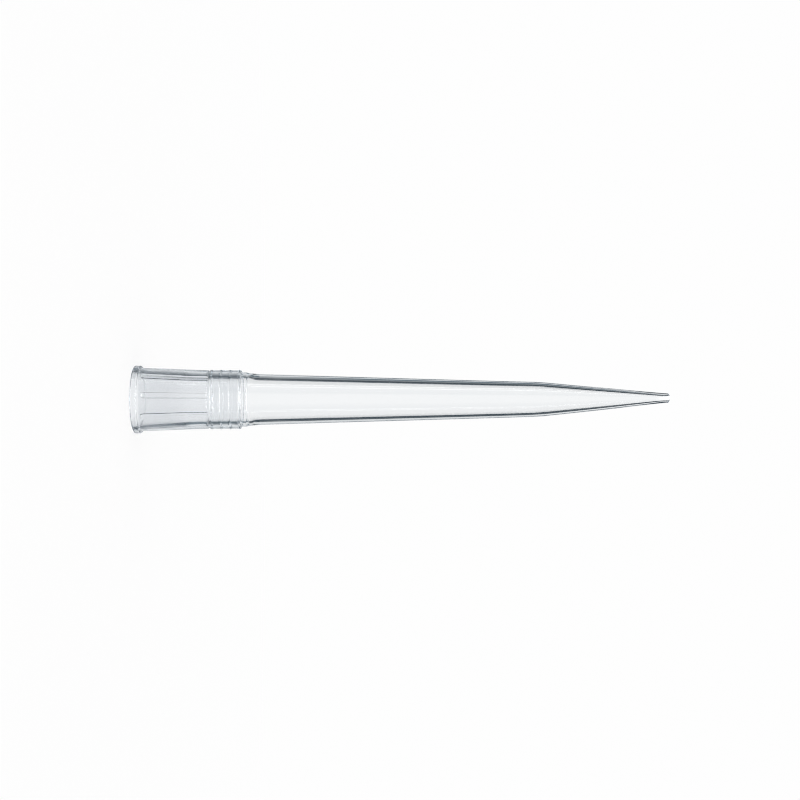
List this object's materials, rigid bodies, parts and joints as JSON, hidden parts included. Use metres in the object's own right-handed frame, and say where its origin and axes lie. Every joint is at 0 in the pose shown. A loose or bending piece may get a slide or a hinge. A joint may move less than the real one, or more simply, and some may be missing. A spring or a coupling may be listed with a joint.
{
  "type": "pipette tip",
  "caption": "Clear moulded pipette tip: a ribbed, flanged socket collar with a ring band, a long tapered shaft and a fine drawn-out point.",
  "frame": {"origin": "centre of the rim of the wide collar, on the axis, where the tip stands", "axes": "+Z along the axis, from the rim of the collar up to the point; +X lies midway between two of the eight socket ribs"},
  "size_m": [0.0088, 0.0088, 0.0715],
  "materials": {
    "clear_polypropylene": "clear, smooth moulded gloss"
  },
  "bodies": {
    "root": {"tip": "clear_polypropylene"}
  },
  "joints": []
}
